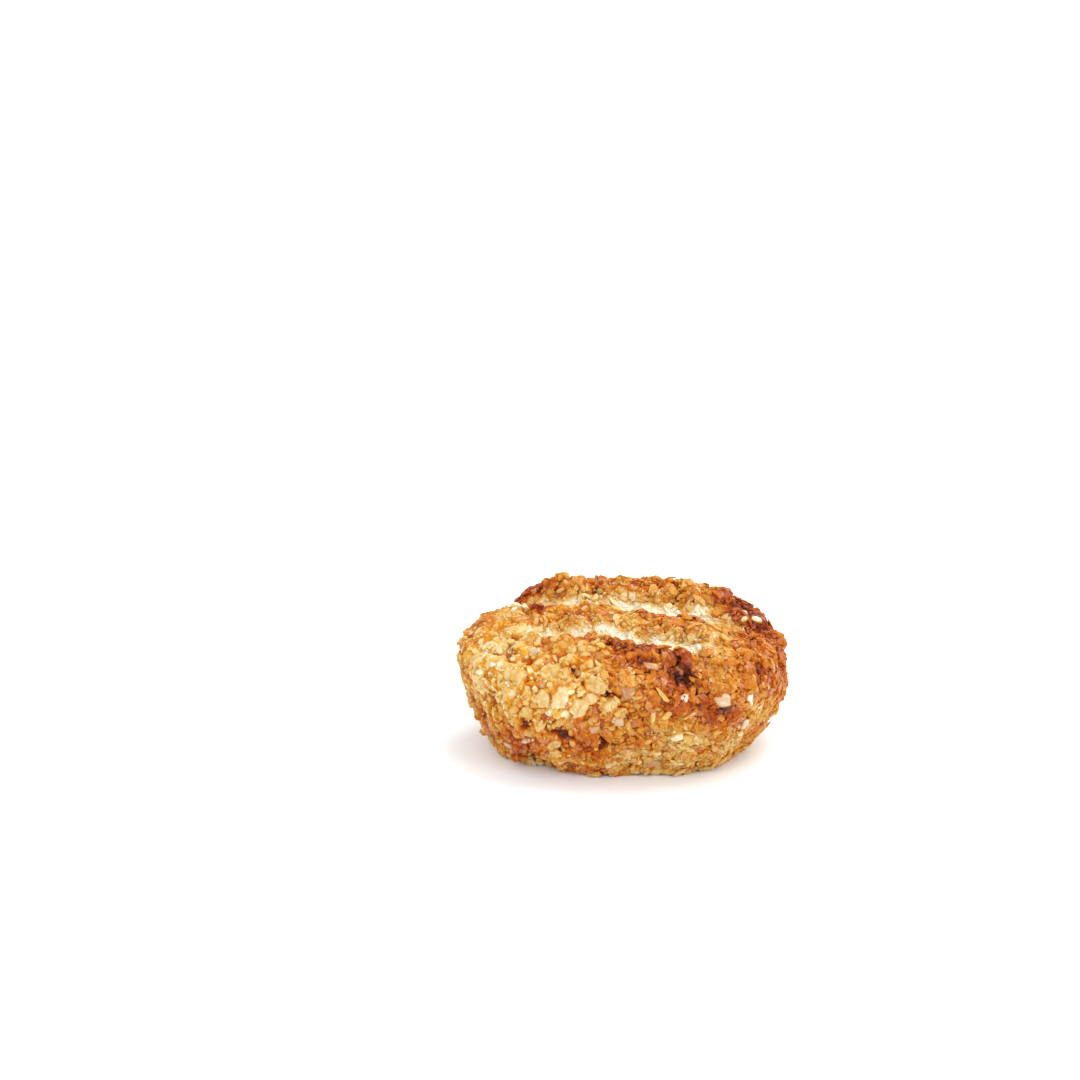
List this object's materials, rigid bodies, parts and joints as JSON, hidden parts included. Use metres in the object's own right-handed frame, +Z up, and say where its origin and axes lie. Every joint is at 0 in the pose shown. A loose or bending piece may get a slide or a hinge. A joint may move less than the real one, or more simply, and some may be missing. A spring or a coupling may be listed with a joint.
{
  "type": "coconut macaroon",
  "caption": "Golden-brown baked coconut macaroon: an uneven oval patty with fork furrows pressed across its domed top and a flat foot.",
  "frame": {"origin": "on the table under the middle of the macaroon's box", "axes": "+X along its long side, +Y from its leaning front to its back, +Z up"},
  "size_m": [0.0442, 0.0328, 0.0215],
  "materials": {
    "toasted_coconut": "matt, crumbly baked coconut, golden to brown, with paler cream furrows and small moist glints"
  },
  "bodies": {
    "root": {"macaroon": "toasted_coconut"}
  },
  "joints": []
}
